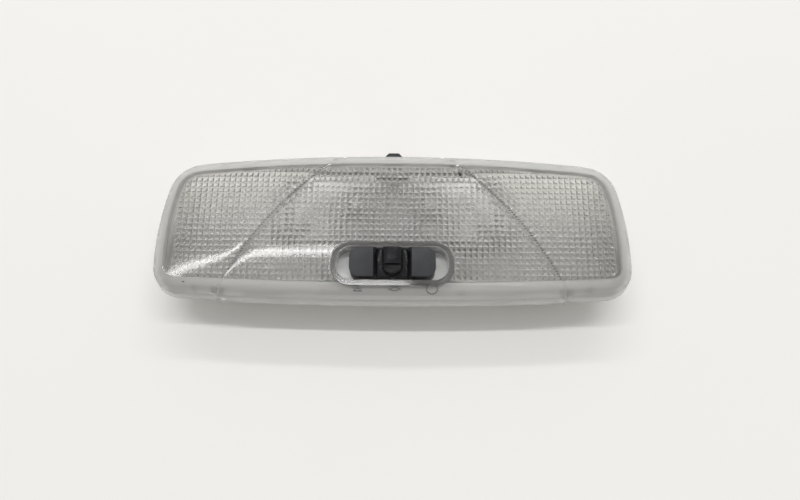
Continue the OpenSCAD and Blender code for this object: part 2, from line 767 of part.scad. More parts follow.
module detent_spring() {
    y = window_y + base_half_d - 1.4;
    tip = slider_y + foot_d / 2 + 0.15;
    color([0.7, 0.71, 0.73]) slab(foot_z - foot_t, foot_z)
        polygon([
            [-12, y], [-12, y - 0.3], [-1.4, y - 0.3], [-0.35, tip], [0.35, tip], [1.4, y - 0.3],
            [12, y - 0.3], [12, y], [0.9, y], [0, y - 0.7], [-0.9, y]
        ]);
}

// A stamped track is a row of straight runs between corner points, all flat on
// the level z
module run(points, z) {
    for (k = [0:len(points) - 2]) {
        p = points[k];
        q = points[k + 1];
        w = track_w / 2;
        box(
            min(p[0], q[0]) - w, max(p[0], q[0]) + w,
            min(p[1], q[1]) - w, max(p[1], q[1]) + w, z, z + track_t
        );
    }
}
module blade(y) {
    z = socket_z0 + socket_h / 2;
    box(pin_x, pin_x + track_t, y - track_w / 2, y + track_w / 2, z - track_t / 2, track_top);
    box(pin_x, pin_x + 9, y - track_w / 2, y + track_w / 2, z - track_t / 2, z + track_t / 2);
}
// The step from the tray floor down to the post of a bulb clip, on the right
module step_down() {
    x = pocket_half_w - wall - 1.6;
    difference() {
        union() {
            run([[x - track_w / 2, bulb_y], [pocket_half_w + 4, bulb_y]], tray_z);
            box(
                x - track_w, x - track_w + track_t, bulb_y - track_w / 2, bulb_y + track_w / 2,
                post_z, track_top
            );
            run([[rivet_x, bulb_y], [x - 1.5 * track_w, bulb_y]], post_z);
            translate([rivet_x, bulb_y]) slab(post_z, post_z + track_t) circle(2.6);
        }
        translate([rivet_x, bulb_y]) slab(post_z - 1, post_z + 2) circle(rivet_r + 0.1);
    }
}
module feed_track() {
    color([0.74, 0.72, 0.67]) {
        step_down();
        run([
            [pocket_half_w + 4, bulb_y], [pocket_half_w + 4, pin_pitch], [bend_x, pin_pitch]
        ], tray_z);
        blade(pin_pitch);
    }
}
module lamp_track() {
    color([0.74, 0.72, 0.67]) {
        mirror([1, 0, 0]) step_down();
        run([
            [-pocket_half_w - 4, bulb_y], [-pocket_half_w - 4, rail_y], [switch_step + 3, rail_y]
        ], tray_z);
    }
}
module door_track() {
    color([0.74, 0.72, 0.67]) {
        run([[bend_x, 0], [pin_x - 5, 0], [pin_x - 5, pad_y], [-0.6, pad_y]], tray_z);
        blade(0);
    }
}
module earth_track() {
    x = pin_x - 1.8;
    y = pad_y - track_w - 1;
    color([0.74, 0.72, 0.67]) {
        run([[bend_x, -pin_pitch], [x, -pin_pitch], [x, y], [-switch_step, y]], tray_z);
        run([[-switch_step - 0.4, y], [-switch_step - 0.4, pad_y]], tray_z);
        run([[-switch_step + 0.4, y], [-switch_step + 0.4, pad_y]], tray_z);
        blade(-pin_pitch);
    }
}

// Bulb clip on the right: a foot, an upright with a hole for the cap and a
// lead-in turned outwards
module bulb_clip() {
    z = post_z + track_t;
    color([0.74, 0.72, 0.67]) difference() {
        translate([0, bulb_y]) rotate([90, 0, 0]) linear_extrude(strip_w, center = true) {
            translate([clip_x, z]) square([rivet_x + 3 - clip_x, clip_t]);
            translate([clip_x, z]) square([clip_t, bulb_z + 4 - z]);
            bar([clip_x + clip_t / 2, bulb_z + 4], [clip_x + 1.6, bulb_z + 6], clip_t);
        }
        translate([0, bulb_y, bulb_z]) rotate([0, 90, 0]) cylinder(r = tip_r, h = bulb_l);
        translate([rivet_x, bulb_y]) slab(z - 1, z + 2) circle(rivet_r + 0.1);
    }
}
module bulb_clip_right() {
    bulb_clip();
}
module bulb_clip_left() {
    mirror([1, 0, 0]) bulb_clip();
}
module clip_rivets() {
    z = post_z + track_t + clip_t;
    color([0.74, 0.72, 0.67]) both_sides() translate([rivet_x, bulb_y]) {
        slab(floor_t + 0.5, z + 0.1) circle(rivet_r);
        slab(z, z + 0.7) circle(1.9);
    }
}

// Turns a profile of [along the bulb, radius] points round the bulb's axis
module turned_on_bulb(points) {
    translate([0, bulb_y, bulb_z]) rotate([0, 90, 0]) rotate_extrude()
        polygon([for (p = points) [p[1], p[0]]]);
}
glass_half = bulb_l / 2 - 8.4;
neck_r = cap_r - 0.5;
neck_end = bulb_l / 2 - 4.6;
module bulb_glass() {
    g = glass_half;
    color([0.95, 0.96, 0.97, 0.35]) turned_on_bulb([
        [-neck_end, 0.4], [-neck_end, neck_r], [-g - 1.4, neck_r],
        [-g - 0.5, glass_r - 0.4], [-g + 0.6, glass_r], [g - 0.6, glass_r],
        [g + 0.5, glass_r - 0.4], [g + 1.4, neck_r], [neck_end, neck_r], [neck_end, 0.4],
        [neck_end - 1, 0.4], [neck_end - 1, neck_r - 0.7], [g + 1, neck_r - 0.7], [g - 0.2, glass_r - 0.7],
        [-g + 0.2, glass_r - 0.7], [-g - 1, neck_r - 0.7],
        [-neck_end + 1, neck_r - 0.7], [-neck_end + 1, 0.4]
    ]);
}
module bulb_cap(side) {
    l = bulb_l / 2;
    points = [
        [neck_end + 0.1, 0], [neck_end + 0.1, neck_r + 0.1],
        [neck_end - 2.4, neck_r + 0.1], [neck_end - 2.4, cap_r],
        [clip_x - 2, cap_r], [clip_x, tip_r - 0.1], [l - 0.4, 1.2], [l, 0.8], [l, 0]
    ];
    color([0.82, 0.82, 0.83]) turned_on_bulb([for (p = points) [side * p[0], p[1]]]);
}
module bulb_cap_left() {
    bulb_cap(-1);
}
module bulb_cap_right() {
    bulb_cap(1);
}
module bulb_filament() {
    color([0.45, 0.45, 0.47]) translate([0, bulb_y, bulb_z]) rotate([0, 90, 0])
        cylinder(r = 0.5, h = 2 * filament_half, center = true);
}
module bulb_leads() {
    color([0.6, 0.6, 0.6]) both_sides()
        translate([filament_half, bulb_y, bulb_z]) rotate([0, 90, 0])
            cylinder(r = 0.25, h = neck_end - filament_half);
}

module retaining_clip() {
    color([0.08, 0.08, 0.09]) difference() {
        across(catch_w) {
            translate(root) difference() {
                circle(curl_r);
                circle(curl_r - catch_t + 0.1);
            }
            difference() {
                bar(root, nose, catch_t);
                translate(root) circle(curl_r - 0.1);
            }
            bar(nose, tail, catch_t);
        }
        // the nose narrows to its tip
        both_sides() translate([0, 0, catch_nose_z - 4]) linear_extrude(8)
            polygon([
                [catch_w / 4, nose[0] + 1], [catch_w / 4, nose[0] + catch_t / 2],
                [catch_w / 2, nose[0] - 1.8], [catch_w, nose[0] - 1.8], [catch_w, nose[0] + 1]
            ]);
    }
}

lens();
housing();
reflector();
switch_base();
switch_slider();
slider_wiper();
detent_spring();
base_screws();
feed_track();
lamp_track();
door_track();
earth_track();
bulb_clip_left();
bulb_clip_right();
clip_rivets();
bulb_glass();
bulb_cap_left();
bulb_cap_right();
bulb_filament();
bulb_leads();
retaining_clip();
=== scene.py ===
# %% [markdown]
# # A car dome light, step by step
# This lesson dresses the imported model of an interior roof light: a long clear
# lens with prisms on its inside, a black slide switch and a spring clip. The
# solids give every place and size. Blender adds what light does with them.

import json
import math

import bpy
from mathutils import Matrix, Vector

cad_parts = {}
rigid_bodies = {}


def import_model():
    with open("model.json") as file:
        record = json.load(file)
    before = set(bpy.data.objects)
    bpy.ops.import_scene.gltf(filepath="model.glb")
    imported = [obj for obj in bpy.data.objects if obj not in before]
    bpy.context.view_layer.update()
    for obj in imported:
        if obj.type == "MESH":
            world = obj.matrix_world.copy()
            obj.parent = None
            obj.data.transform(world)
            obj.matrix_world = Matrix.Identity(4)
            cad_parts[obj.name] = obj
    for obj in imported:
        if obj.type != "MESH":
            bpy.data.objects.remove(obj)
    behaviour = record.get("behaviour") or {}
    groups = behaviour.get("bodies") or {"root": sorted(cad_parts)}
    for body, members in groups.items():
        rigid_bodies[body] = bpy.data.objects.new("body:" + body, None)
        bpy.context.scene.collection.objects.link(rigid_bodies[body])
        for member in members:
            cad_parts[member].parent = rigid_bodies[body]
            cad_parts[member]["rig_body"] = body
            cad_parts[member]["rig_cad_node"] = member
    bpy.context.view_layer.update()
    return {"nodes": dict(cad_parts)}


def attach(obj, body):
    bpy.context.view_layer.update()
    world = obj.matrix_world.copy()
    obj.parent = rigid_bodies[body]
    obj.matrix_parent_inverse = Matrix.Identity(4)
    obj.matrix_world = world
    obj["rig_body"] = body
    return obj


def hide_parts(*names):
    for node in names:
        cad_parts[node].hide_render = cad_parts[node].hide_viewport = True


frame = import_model()
nodes = frame["nodes"]
MM = 0.001
print("pieces in the frame:", len(nodes))

# %% [markdown]
# ## Camera
# The lamp was seen from 26 cm above its lens, tipped 17 degrees toward the
# edge with the symbols. A short lens that near makes the far edge look
# narrower, so distance and tilt come first and the focal length follows.

# %% Camera
AIM = Vector((3.0, -12.2, 32.0)) * MM
DISTANCE = 258 * MM
ELEVATION = math.radians(73)
ROLL = math.radians(0.4)
place = AIM + DISTANCE * Vector((0, -math.cos(ELEVATION), math.sin(ELEVATION)))
bpy.ops.object.camera_add(location=place)
camera = bpy.context.object
camera.rotation_euler = (AIM - place).to_track_quat("-Z", "Y").to_euler()
camera.rotation_euler.rotate_axis("Z", ROLL)
camera.data.lens = 28.8
camera.data.sensor_width = 36
camera.data.clip_start = 0.01
bpy.context.scene.camera = camera
print("camera at", [round(v, 3) for v in place])

# %% [markdown]
# ## Light
# Three long lamps hang over the far side of the table, each with its long side
# along X. The shadow under the front edge has two steps, so two of them light
# the scene, one 16 degrees off the vertical and one 40. The third is a thin
# tube that only shows as a mirror image on the left half of the lens.


# %% Lamps
def long_lamp(name, at, size, power):
    bpy.ops.object.light_add(type="AREA", location=at)
    lamp = bpy.context.object
    lamp.name = name
    lamp.data.shape = "RECTANGLE"
    lamp.data.size, lamp.data.size_y = size
    lamp.data.energy = power
    lamp.rotation_euler = (-math.atan2(at[1], at[2]), 0, 0)
    return lamp


near_lamp = long_lamp("near_lamp", (0.10, 0.84, 3.0), (3.4, 0.10), 41.0)
far_lamp = long_lamp("far_lamp", (0.10, 2.54, 3.0), (3.6, 0.18), 30.0)
tube_lamp = long_lamp("tube_lamp", (-0.60, 0.313, 1.45), (1.25, 0.038), 1.45)
near_lamp.visible_glossy = near_lamp.visible_transmission = False
far_lamp.visible_transmission = False
tube_lamp.visible_diffuse = tube_lamp.visible_transmission = False

# %% [markdown]
# The prisms of a real lens scatter the lamps' light sideways, also onto the
# wall under its far edge. A path tracer can't follow that in a short time, so
# a soft fill from the viewer's side does the same. Light linking keeps it to
# the inside of the tray, the reflector and what stands in them.

# %% Fill for the inside
fill_lamp = long_lamp("fill_lamp", (0.0, -1.25, 0.75), (1.4, 0.7), 48.0)
fill_lamp.visible_glossy = fill_lamp.visible_transmission = False
inside = bpy.data.collections.new("lit_by_the_fill")
fill_lamp.light_linking.receiver_collection = inside

# %% [markdown]
# The world is a pale room that is lighter on the far side, so the shadow in
# front of the lamp keeps its depth. The slow change also lets the renderer aim
# rays at the room, and those pass the clear lens.

# %% World
world = bpy.data.worlds.new("pale_room")
bpy.context.scene.world = world
world.use_nodes = True
tree = world.node_tree
coords = tree.nodes.new("ShaderNodeTexCoord")
split = tree.nodes.new("ShaderNodeSeparateXYZ")
side = tree.nodes.new("ShaderNodeMapRange")
side.inputs["From Min"].default_value = -1.0
side.inputs["From Max"].default_value = 1.0
side.inputs["To Min"].default_value = 0.34
side.inputs["To Max"].default_value = 0.64
tree.links.new(coords.outputs["Generated"], split.inputs[0])
tree.links.new(split.outputs["Y"], side.inputs["Value"])
tree.links.new(side.outputs["Result"], tree.nodes["Background"].inputs["Strength"])
tree.nodes["Background"].inputs["Color"].default_value = (1.0, 0.995, 0.98, 1)

scene = bpy.context.scene
scene.view_settings.view_transform = "Standard"
scene.cycles.caustics_reflective = False
scene.cycles.caustics_refractive = False
scene.cycles.transmission_bounces = 16
scene.cycles.transparent_max_bounces = 24
scene.cycles.max_bounces = 20

# %% [markdown]
# ## Materials
# Every finish here is a Principled shader with a little disorder: a noise
# that shifts the colour, one for the roughness and one for fine bumps. All of
# them read Object coordinates in metres, so a scale of 400 is a grain of
# about 2.5 mm.


# %% Material helpers
def finish_named(name, colour, roughness, **sockets):
    m = bpy.data.materials.new(name)
    m.use_nodes = True
    shader = m.node_tree.nodes["Principled BSDF"]
    shader.inputs["Base Color"].default_value = (*colour, 1)
    shader.inputs["Roughness"].default_value = roughness
    for socket, value in sockets.items():
        shader.inputs[socket.replace("_", " ")].default_value = value
    return m


def shader_of(m):
    return m.node_tree.nodes["Principled BSDF"]


def add(m, kind, **settings):
    n = m.node_tree.nodes.new("ShaderNode" + kind)
    for key, value in settings.items():
        setattr(n, key, value)
    return n


def wire(m, output, socket):
    m.node_tree.links.new(output, socket)
    return socket.node


def noise(m, scale, detail=3.0, stretch=(1, 1, 1)):
    coords = add(m, "TexCoord").outputs["Object"]
    mapping = wire(m, coords, add(m, "Mapping").inputs["Vector"])
    mapping.inputs["Scale"].default_value = stretch
    n = wire(m, mapping.outputs["Vector"], add(m, "TexNoise").inputs["Vector"])
    n.inputs["Scale"].default_value = scale
    n.inputs["Detail"].default_value = detail
    return n.outputs["Fac"]


def ramp(m, value, stops):
    n = wire(m, value, add(m, "ValToRGB").inputs["Fac"])
    while len(n.color_ramp.elements) < len(stops):
        n.color_ramp.elements.new(0.5)
    for element, (at, colour) in zip(n.color_ramp.elements, stops):
        element.position = at
        element.color = (*colour, 1)
    return n.outputs["Color"]


def mottle(m, scale, dark, light, stretch=(1, 1, 1)):
    patches = noise(m, scale, 4, stretch)
    colour = ramp(m, patches, [(0.35, dark), (0.65, light)])
    wire(m, colour, shader_of(m).inputs["Base Color"])


def uneven_gloss(m, scale, low, high, stretch=(1, 1, 1)):
    n = wire(m, noise(m, scale, 3, stretch), add(m, "MapRange").inputs["Value"])
    n.inputs["From Min"].default_value = 0.3
    n.inputs["From Max"].default_value = 0.7
    n.inputs["To Min"].default_value = low
    n.inputs["To Max"].default_value = high
    wire(m, n.outputs["Result"], shader_of(m).inputs["Roughness"])


def grain(m, scale, depth, strength=0.4, stretch=(1, 1, 1), detail=5):
    n = wire(m, noise(m, scale, detail, stretch), add(m, "Bump").inputs["Height"])
    n.inputs["Distance"].default_value = depth
    n.inputs["Strength"].default_value = strength
    wire(m, n.outputs["Normal"], shader_of(m).inputs["Normal"])


def let_lamps_through(m, tint):
    path, clear, mix = add(m, "LightPath"), add(m, "BsdfTransparent"), add(m, "MixShader")
    clear.inputs["Color"].default_value = (*tint, 1)
    wire(m, path.outputs["Is Shadow Ray"], mix.inputs[0])
    wire(m, shader_of(m).outputs["BSDF"], mix.inputs[1])
    wire(m, clear.outputs["BSDF"], mix.inputs[2])
    wire(m, mix.outputs["Shader"], m.node_tree.nodes["Material Output"].inputs["Surface"])


# %% [markdown]
# The lens is one clear moulding with two finishes: polished over the panels
# and the collar, and finely blasted on the bevel and the skirt, so that nobody
# looks in from the side. Glass stops lamp rays in a path tracer, so a second
# shader lets them pass for shadows, and the housing inside stays lit. A clear
# coat doubles the mirror image of the tube lamp, and the prisms are rough, so
# that they blur what stands behind them.

# %% Finishes of the lens
polished = finish_named(
    "clear_polished", (0.985, 0.98, 0.965), 0.08, IOR=1.49, Transmission_Weight=1.0,
    Coat_Weight=1.0, Coat_Roughness=0.08, Coat_IOR=1.49,
)
uneven_gloss(polished, 180, 0.07, 0.085)
grain(polished, 25, 0.0002, 0.06, detail=0)
let_lamps_through(polished, (0.47, 0.47, 0.47))

blasted = finish_named(
    "clear_blasted", (0.9, 0.895, 0.875), 0.12, IOR=1.49, Transmission_Weight=0.6
)
uneven_gloss(blasted, 240, 0.1, 0.15)
grain(blasted, 300, 0.00003, 0.1, detail=2)
let_lamps_through(blasted, (0.25, 0.25, 0.25))

optic = finish_named(
    "clear_prisms", (0.985, 0.98, 0.965), 0.15, IOR=1.49, Transmission_Weight=1.0
)
uneven_gloss(optic, 300, 0.28, 0.31)
let_lamps_through(optic, (1, 1, 1))

# %% [markdown]
# Panel and prisms are one piece of plastic, but here they are two closed
# shapes, one just under the other. Where they meet, a ray has to go straight
# on, so those hidden faces get an index of 1, which neither bends nor mirrors.

# %% Finish of the faces between panel and prisms
joined = finish_named("clear_joined", (1, 1, 1), 0.0, IOR=1.0, Transmission_Weight=1.0)
uneven_gloss(joined, 300, 0.0, 0.01)
let_lamps_through(joined, (1, 1, 1))

# Painted shade: the beads in the creases are mottled from near black to pale grey for the dark
# dashes of the crease.
painted_crease_shade = finish_named("crease_painted_shade", (0.6, 0.6, 0.58), 0.12, IOR=1.49, Transmission_Weight=0.15)
mottle(painted_crease_shade, 900, (0.1, 0.1, 0.095), (0.8, 0.8, 0.78))
uneven_gloss(painted_crease_shade, 500, 0.08, 0.2)
let_lamps_through(painted_crease_shade, (0.8, 0.8, 0.8))

# %% Finishes of the mouldings inside
white = finish_named("white_moulding", (0.82, 0.805, 0.77), 0.4)
mottle(white, 45, (0.79, 0.775, 0.74), (0.85, 0.835, 0.8))
uneven_gloss(white, 160, 0.32, 0.5)
grain(white, 1500, 0.00006, 0.3)

plate = finish_named("white_plate", (0.9, 0.9, 0.89), 0.2, Specular_IOR_Level=1.0)
mottle(plate, 70, (0.92, 0.92, 0.91), (0.96, 0.96, 0.95))
uneven_gloss(plate, 200, 0.14, 0.22)
grain(plate, 900, 0.00003, 0.15, detail=2)

black = finish_named("black_moulding", (0.035, 0.036, 0.04), 0.45)
mottle(black, 90, (0.028, 0.029, 0.033), (0.043, 0.045, 0.05))
uneven_gloss(black, 300, 0.36, 0.55)
grain(black, 2600, 0.00009, 0.6)

# %% Finishes of the metals
satin_sheet = finish_named("satin_sheet", (0.95, 0.94, 0.92), 0.5, Metallic=0.05)
mottle(satin_sheet, 120, (0.93, 0.92, 0.9), (0.98, 0.97, 0.95), (1, 8, 8))
uneven_gloss(satin_sheet, 90, 0.45, 0.6, (1, 12, 12))
grain(satin_sheet, 500, 0.00004, 0.3, (1, 10, 10))

tinned = finish_named("tinned_brass", (0.82, 0.8, 0.76), 0.4, Metallic=0.7)
mottle(tinned, 130, (0.74, 0.72, 0.68), (0.88, 0.86, 0.82))
uneven_gloss(tinned, 260, 0.35, 0.5)
grain(tinned, 900, 0.00004, 0.3, (1, 6, 1))

bronze = finish_named("spring_bronze", (0.72, 0.5, 0.3), 0.3, Metallic=1.0)
mottle(bronze, 160, (0.55, 0.36, 0.22), (0.76, 0.55, 0.34))
uneven_gloss(bronze, 240, 0.2, 0.4)
grain(bronze, 800, 0.00004, 0.3, (1, 1, 8))

steel = finish_named("zinc_steel", (0.62, 0.63, 0.65), 0.3, Metallic=1.0)
mottle(steel, 220, (0.5, 0.52, 0.54), (0.68, 0.69, 0.71))
uneven_gloss(steel, 320, 0.22, 0.42)
grain(steel, 1400, 0.00004, 0.3)

nickel = finish_named("nickel_cap", (0.76, 0.75, 0.73), 0.2, Metallic=1.0)
uneven_gloss(nickel, 260, 0.12, 0.3)
grain(nickel, 900, 0.00004, 0.25, (8, 1, 1))

wire_metal = finish_named("drawn_wire", (0.42, 0.42, 0.44), 0.35, Metallic=1.0)
uneven_gloss(wire_metal, 900, 0.25, 0.45)
grain(wire_metal, 3000, 0.00003, 0.3)

bulb_clear = finish_named("bulb_clear", (1, 1, 1), 0.0, IOR=1.5, Transmission_Weight=1.0)
uneven_gloss(bulb_clear, 150, 0.0, 0.03)
let_lamps_through(bulb_clear, (1, 1, 1))

black_steel = finish_named("black_steel", (0.045, 0.045, 0.05), 0.35, Metallic=0.6)
mottle(black_steel, 200, (0.03, 0.03, 0.034), (0.06, 0.06, 0.066))
uneven_gloss(black_steel, 300, 0.28, 0.45)
grain(black_steel, 1600, 0.00005, 0.35)

# %% Finishes of small marks
# Painted shade: the knob and the trough round it get a near black colour and a weak specular,
# darker than the pads, for the shade in the recess; the lower roughness is the gloss of thumbs.
thumb_gloss_and_painted_shade = finish_named("black_thumb_gloss_painted_shade", (0.008, 0.008, 0.01), 0.26, Specular_IOR_Level=0.3)
mottle(thumb_gloss_and_painted_shade, 120, (0.005, 0.005, 0.006), (0.011, 0.011, 0.013))
uneven_gloss(thumb_gloss_and_painted_shade, 260, 0.2, 0.32)
grain(thumb_gloss_and_painted_shade, 1800, 0.00004, 0.2)

# Painted shade: the sign lines are dark grey, for the shaded edges of clear moulded lines.
sign_painted_shade = finish_named("moulded_line_painted_shade", (0.16, 0.16, 0.155), 0.3)
mottle(sign_painted_shade, 400, (0.13, 0.13, 0.125), (0.2, 0.2, 0.195))
uneven_gloss(sign_painted_shade, 500, 0.2, 0.35)

soil = finish_named("dark_soil", (0.03, 0.027, 0.025), 0.8)
mottle(soil, 2500, (0.015, 0.013, 0.012), (0.06, 0.054, 0.05))
grain(soil, 5000, 0.00008, 0.8)

# %% Finishes on the nodes that stay as they are
DRESS = {
    "slider_wiper": bronze, "detent_spring": steel, "base_screws": steel,
    "feed_track": tinned, "lamp_track": tinned, "door_track": tinned, "earth_track": tinned,
    "bulb_clip_left": tinned, "bulb_clip_right": tinned, "clip_rivets": tinned,
    "bulb_glass": bulb_clear, "bulb_cap_left": nickel, "bulb_cap_right": nickel,
    "bulb_filament": wire_metal, "bulb_leads": wire_metal, "reflector": satin_sheet,
    "housing": white, "switch_base": plate, "switch_slider": black, "retaining_clip": black_steel,
    "lens": polished,
}
for name, finish in DRESS.items():
    nodes[name].data.materials.clear()
    nodes[name].data.materials.append(finish)
print("dressed", len(DRESS), "nodes")

# %% [markdown]
# ## Modelling helpers
# An edit operator acts on what is selected, so each step first picks faces or
# edges by where they lie or which way they look.


# %% Modelling helpers
def only(obj):
    if bpy.context.mode != "OBJECT":
        bpy.ops.object.mode_set(mode="OBJECT")
    bpy.ops.object.select_all(action="DESELECT")
    obj.hide_set(False)
    obj.select_set(True)
    bpy.context.view_layer.objects.active = obj
    return obj


def pick_faces(obj, wanted):
    bpy.ops.object.mode_set(mode="EDIT")
    bpy.ops.mesh.select_mode(type="FACE")
    bpy.ops.mesh.select_all(action="DESELECT")
    bpy.ops.object.mode_set(mode="OBJECT")
    for face in obj.data.polygons:
        face.select = wanted(face)
    count = sum(face.select for face in obj.data.polygons)
    bpy.ops.object.mode_set(mode="EDIT")
    return count


def apply_modifier(obj, kind, **settings):
    only(obj)
    modifier = obj.modifiers.new(kind.lower(), kind)
    for key, value in settings.items():
        setattr(modifier, key, value)
    bpy.ops.object.modifier_apply(modifier=modifier.name)


def copy_of(node, name):
    only(nodes[node])
    bpy.ops.object.duplicate()
    piece = bpy.context.object
    piece.name = name
    piece.parent = None
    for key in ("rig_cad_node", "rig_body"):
        if key in piece:
            del piece[key]
    only(piece)
    bpy.ops.object.mode_set(mode="EDIT")
    bpy.ops.mesh.select_all(action="SELECT")
    bpy.ops.mesh.remove_doubles(threshold=0.000005)
    bpy.ops.object.mode_set(mode="OBJECT")
    return piece


def rounded_copy(node, width, body, finish, segments=2):
    """A copy of a node with its sharp edges rounded, in place of the node."""
    piece = copy_of(node, node + "_look")
    bpy.ops.object.mode_set(mode="EDIT")
    bpy.ops.mesh.dissolve_limited(angle_limit=math.radians(0.6))
    bpy.ops.object.mode_set(mode="OBJECT")
    apply_modifier(
        piece, "BEVEL", width=width, segments=segments, limit_method="ANGLE",
        angle_limit=math.radians(32), use_clamp_overlap=True,
    )
    smooth(piece, 40)
    piece.data.materials.clear()
    piece.data.materials.append(finish)
    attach(piece, body)
    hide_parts(node)
    return piece


def smooth(obj, degrees=35):
    only(obj)
    bpy.ops.object.shade_smooth_by_angle(angle=math.radians(degrees))


# %% [markdown]
# ## Lens shell
# The copy of the lens node is merged and shaded smooth, so that a lamp's
# mirror image bends over the creases as one line and not from facet to facet.

# %% Lens shell
shell = copy_of("lens", "lens_shell")
bpy.ops.object.mode_set(mode="EDIT")
bpy.ops.mesh.dissolve_limited(angle_limit=math.radians(0.05))
bpy.ops.object.mode_set(mode="OBJECT")
apply_modifier(
    shell, "BEVEL", width=0.3 * MM, segments=2, limit_method="ANGLE",
    angle_limit=math.radians(31), use_clamp_overlap=True,
)
smooth(shell, 24)
shell.data.materials.clear()
for finish in (polished, blasted, joined):
    shell.data.materials.append(finish)
print("lens shell faces:", len(shell.data.polygons))

# %% [markdown]
# A face belongs to the blasted border when its lowest corner lies under the
# edge of the panel, outside or inside. The underside of the panel is joined to
# the prisms, apart from the lanes under the creases.

# %% Two finishes on one shell
WINDOW_Y = -17.9 * MM
OUTSIDE_EDGE, INSIDE_EDGE = 30.2 * MM, 28.4 * MM
CREASE_RADIUS = 150 * MM
CREASE_CENTRE = Vector((-66.04, -91.52, 0)) * MM
UNDERSIDE_TOP = 30.8 * MM
HALF_LANE = 0.7 * MM
POLISHED, BLASTED, JOINED = range(3)


def off_crease(x, y):
    """How far a point lies from the crease, out to the wing."""
    return math.hypot(abs(x) - CREASE_CENTRE.x, y - CREASE_CENTRE.y) - CREASE_RADIUS


def finish_of(face):
    lowest = min(shell.data.vertices[v].co.z for v in face.vertices)
    x, y, z = face.center
    if lowest < (OUTSIDE_EDGE if face.normal.z > 0 else INSIDE_EDGE):
        return BLASTED
    under_panel = face.normal.z < -0.9 and z < UNDERSIDE_TOP
    return JOINED if under_panel and abs(off_crease(x, y)) > HALF_LANE else POLISHED


for face in shell.data.polygons:
    face.material_index = finish_of(face)
for number, finish in enumerate(shell.data.materials):
    print(finish.name, sum(face.material_index == number for face in shell.data.polygons))

# %% [markdown]
# The solid shows the dome of the panel in facets. A lamp's mirror image is
# very sensitive to them, so the corners of the panel's faces get the exact
# normal of the dome: a low parabola from edge to edge that fades to the ends
# and falls softly toward each crease.


# %% Exact normals on the panel
def panel_height(x, y):
    """Height over the panel's edge, all in millimetres."""
    low, high = -25.9 + x * x / 3390, 25.9 - x * x / 1590
    t = (y - low) / (high - low)
    off = off_crease(x * MM, y * MM) / MM
    if off < 0:
        dome = 0.92 * (1 - (x / 130) ** 2)
    else:
        inner = CREASE_CENTRE.x / MM + math.sqrt(150 ** 2 - (y + 91.52) ** 2)
        outer = -22.4 + math.sqrt(114.8 ** 2 - (y + 12.5) ** 2)
        share = (abs(x) - inner - 0.6) / (outer - inner - 0.6)
        dome = 0.9 * (1 - min(1, max(0.001, share)) ** 0.8)
    return dome * 4 * t * (1 - t) - 0.2 * math.exp(-abs(off) / 1.8)


def panel_normal(x, y, step=0.05):
    slope_x = (panel_height(x + step, y) - panel_height(x - step, y)) / (2 * step)
    slope_y = (panel_height(x, y + step) - panel_height(x, y - step)) / (2 * step)
    return Vector((-slope_x, -slope_y, 1)).normalized()


PANEL_LOW, PANEL_HIGH, PANEL_END = 31.6, 33.1, 91
LEAST_UP = 0.97
FACE_OFF, CORNER_OFF = 0.62 * MM, 0.5 * MM
normals = [Vector(n.vector) for n in shell.data.corner_normals]
exact = 0
for face in shell.data.polygons:
    corners = [shell.data.vertices[v].co / MM for v in face.vertices]
    heights = [corner.z for corner in corners]
    level = PANEL_LOW < min(heights) and max(heights) < PANEL_HIGH
    on_panel = face.normal.z > LEAST_UP and level
    if on_panel and abs(off_crease(face.center.x, face.center.y)) > FACE_OFF:
        for loop, corner in zip(face.loop_indices, corners):
            off = abs(off_crease(corner.x * MM, corner.y * MM))
            if abs(corner.x) < PANEL_END and off > CORNER_OFF:
                normals[loop] = panel_normal(corner.x, corner.y)
                exact += 1
shell.data.normals_split_custom_set(normals)
print("corners with an exact normal:", exact, "of", len(normals))

# %% [markdown]
# ## Prisms
# The inside of the panels is covered with small pillows, 2.33 mm apart both
# ways, that break up the light of the bulb. One grid is laid under the lens,
# trimmed to its outline, pressed against the panel and given a thickness.
# Then each face of its underside is inset and pushed down, and a subdivision
# with a hard crease round each face rounds it to a pillow.

# %% The sheet that the prisms are made from
PITCH = 2.33 * MM
COLUMNS, ROWS = 77, 22
FIELD_LEFT, FIELD_LOW = -89.13 * MM, -24.4 * MM
wide, high = COLUMNS * PITCH, ROWS * PITCH
bpy.ops.mesh.primitive_grid_add(
    x_subdivisions=COLUMNS, y_subdivisions=ROWS, size=1,
    location=(FIELD_LEFT + wide / 2, FIELD_LOW + high / 2, 25 * MM),
)
prisms = bpy.context.object
prisms.name = "lens_prisms"
prisms.scale = (wide, high, 1)
bpy.ops.object.transform_apply(location=True, rotation=True, scale=True)
panel_rim = [v.co for v in shell.data.vertices if v.co.z > 31.9 * MM]
RIM_GAP = 1.3 * MM
for degrees in list(range(-12, 193, 6)) + [-24, -36, -48, 204, 216, 228]:
    way = Vector((math.cos(math.radians(degrees)), math.sin(math.radians(degrees)), 0))
    reach = max(p.dot(way) for p in panel_rim) - RIM_GAP
    only(prisms)
    bpy.ops.object.mode_set(mode="EDIT")
    bpy.ops.mesh.select_all(action="SELECT")
    bpy.ops.mesh.bisect(plane_co=way * reach, plane_no=way, clear_outer=True)
bpy.ops.object.mode_set(mode="OBJECT")
print("cells after trimming:", len(prisms.data.polygons))

